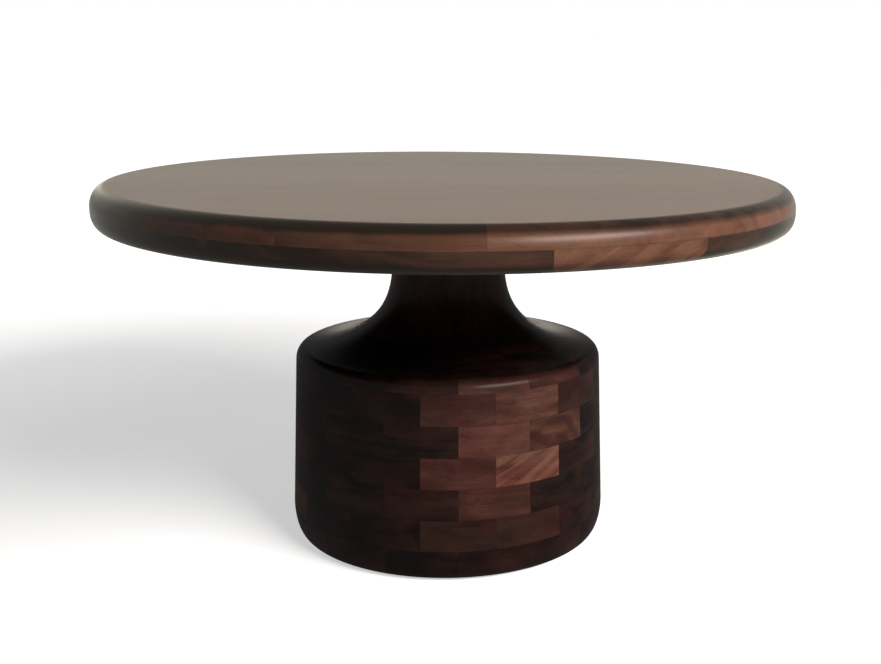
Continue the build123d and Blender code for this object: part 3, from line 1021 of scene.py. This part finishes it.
def make_world():
    """Dim grey for the light, and plain white where the background is seen or mirrored."""
    world = bpy.data.worlds.new("studio")
    world.use_nodes = True
    bpy.context.scene.world = world
    tree = world.node_tree
    tree.nodes.clear()
    room, paper = (tree.nodes.new("ShaderNodeBackground") for _ in range(2))
    room.inputs[0].default_value = ROOM_LIGHT
    room.inputs[1].default_value = ROOM_STRENGTH
    paper.inputs[0].default_value = PAPER
    paper.inputs[1].default_value = PAPER_STRENGTH
    mix = tree.nodes.new("ShaderNodeMixShader")
    output = tree.nodes.new("ShaderNodeOutputWorld")
    tree.links.new(background_rays(tree), mix.inputs[0])
    tree.links.new(room.outputs[0], mix.inputs[1])
    tree.links.new(paper.outputs[0], mix.inputs[2])
    tree.links.new(mix.outputs[0], output.inputs[0])


def make_floor():
    """Pale paper that takes the table's shadow, and turns white away from it. From below it isn't there."""
    g = Graph("pale_floor")
    place = g.node("TexCoord").outputs["Object"]
    away = g.node("VectorMath", {0: place}, operation="LENGTH").outputs["Value"]
    lift = g.band(away, *FLOOR_FADE, *FLOOR_LIFT)
    lift = g.mix(background_rays(g.tree), (FLOOR_GLOW,) * 3, lift)
    paper = g.node("BsdfDiffuse", {"Color": FLOOR_COLOUR, "Roughness": FLOOR_ROUGHNESS})
    glow = g.node("Emission", {"Color": PAPER, "Strength": lift})
    upper_side = g.node("AddShader", {0: paper.outputs[0], 1: glow.outputs[0]}).outputs[0]
    from_below = g.node("NewGeometry").outputs["Backfacing"]
    both = g.node("MixShader", {0: from_below, 1: upper_side, 2: g.node("BsdfTransparent").outputs[0]})
    g.node("OutputMaterial", {0: both.outputs[0]})
    half = FLOOR_SIZE / 2
    data = bpy.data.meshes.new("floor")
    corners = [(-half, -half, 0), (half, -half, 0), (half, half, 0), (-half, half, 0)]
    data.from_pydata(corners, [], [(0, 1, 2, 3)])
    data.materials.append(g.material)
    floor = bpy.data.objects.new("floor", data)
    bpy.context.collection.objects.link(floor)


def main():
    top_wood = stained_wood("top_wood", FAR, board_width / 2, TOP_STAIN, TOP_LACQUER)
    block = (block_angle / 2 * drum_radius, course_height / 2)
    drum_wood = stained_wood("drum_wood", *block, DRUM_STAIN, DRUM_LACQUER)
    neck_wood = stained_wood("neck_wood", pi / 4 * NECK_RADIUS, FAR, DRUM_STAIN, DRUM_LACQUER)
    make_top(top_wood)
    make_pedestal(drum_wood, neck_wood)

    zinc, plastic = zinc_steel(), black_plastic()
    make_hardware(zinc, plastic)
    slots = {item["node"]: item["material_slot"] for item in frame["record"]["subparts"]}
    by_slot = {"zinc_plated_steel": zinc, "black_plastic": plastic}
    for node, shown in frame["nodes"].items():
        if slots[node] in by_slot:
            shown.data.materials.clear()
            shown.data.materials.append(by_slot[slots[node]])

    bpy.context.scene.view_settings.view_transform = "Standard"
    make_floor()
    make_world()
    area_lamp("window", WINDOW_PLACE, TABLE_MIDDLE, WINDOW_SIZE, WINDOW_POWER, WINDOW_COLOUR)
    area_lamp("fill", FILL_PLACE, TABLE_MIDDLE, FILL_SIZE, FILL_POWER, FILL_COLOUR)
    make_camera()


main()
